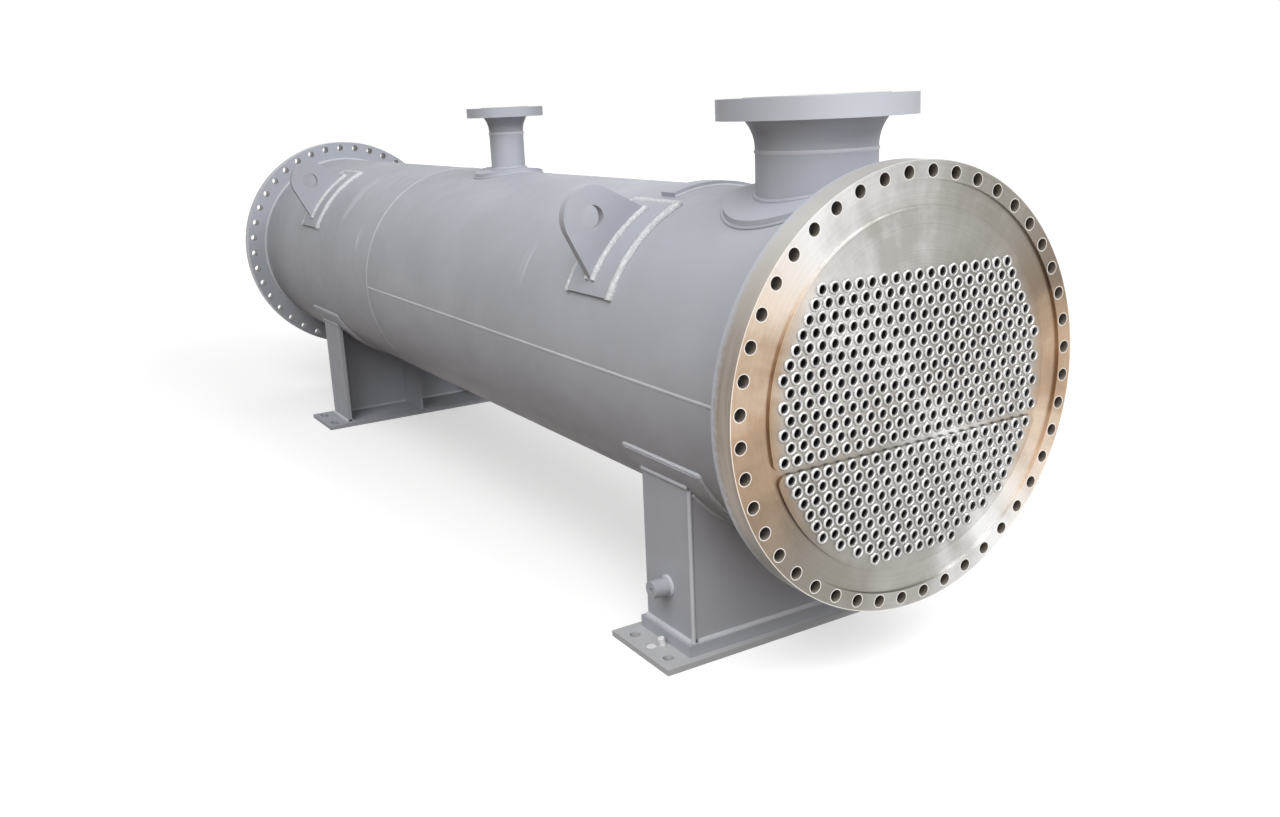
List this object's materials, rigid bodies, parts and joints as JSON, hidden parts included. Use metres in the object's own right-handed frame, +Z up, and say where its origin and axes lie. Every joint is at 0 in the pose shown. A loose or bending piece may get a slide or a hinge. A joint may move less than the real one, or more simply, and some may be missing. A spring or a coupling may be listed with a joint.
{
  "type": "shell and tube heat exchanger",
  "caption": "Horizontal shell-and-tube heat exchanger with bare drilled tubesheets at both ends, top nozzles, lifting lugs and saddles, for passing heat between two fluids.",
  "frame": {"origin": "on the floor, under the middle of the shell", "axes": "+X along the shell's axis towards the front tubesheet, +Y to the right seen from the front, +Z up"},
  "size_m": [3.9, 0.9599, 1.292],
  "materials": {
    "grey_paint": "satin light blue-grey paint over carbon steel",
    "bare_sheet": "lathe-turned bare stainless steel",
    "tube_steel": "bright welded stainless tube ends"
  },
  "bodies": {
    "root": {"shell_front_course": "grey_paint", "shell_rear_course": "grey_paint", "rear_tubesheet": "grey_paint", "large_nozzle_flange": "grey_paint", "large_nozzle_neck": "grey_paint", "large_nozzle_pad": "grey_paint", "small_nozzle_flange": "grey_paint", "small_nozzle_neck": "grey_paint", "small_nozzle_pad": "grey_paint", "front_left_lug": "grey_paint", "rear_left_lug": "grey_paint", "front_left_lug_pad": "grey_paint", "rear_left_lug_pad": "grey_paint", "front_saddle_wear_plate": "grey_paint", "front_saddle_web": "grey_paint", "front_saddle_left_end_plate": "grey_paint", "front_saddle_right_end_plate": "grey_paint", "front_saddle_rib": "grey_paint", "front_saddle_base_plate": "grey_paint", "rear_saddle_wear_plate": "grey_paint", "rear_saddle_web": "grey_paint", "rear_saddle_left_end_plate": "grey_paint", "rear_saddle_right_end_plate": "grey_paint", "rear_saddle_rib": "grey_paint", "rear_saddle_base_plate": "grey_paint", "front_saddle_sole_plate": "grey_paint", "earthing_boss": "grey_paint", "front_top_strap": "grey_paint", "front_tubesheet": "bare_sheet", "upper_pass_tubes": "tube_steel", "lower_pass_tubes": "tube_steel"}
  },
  "joints": []
}
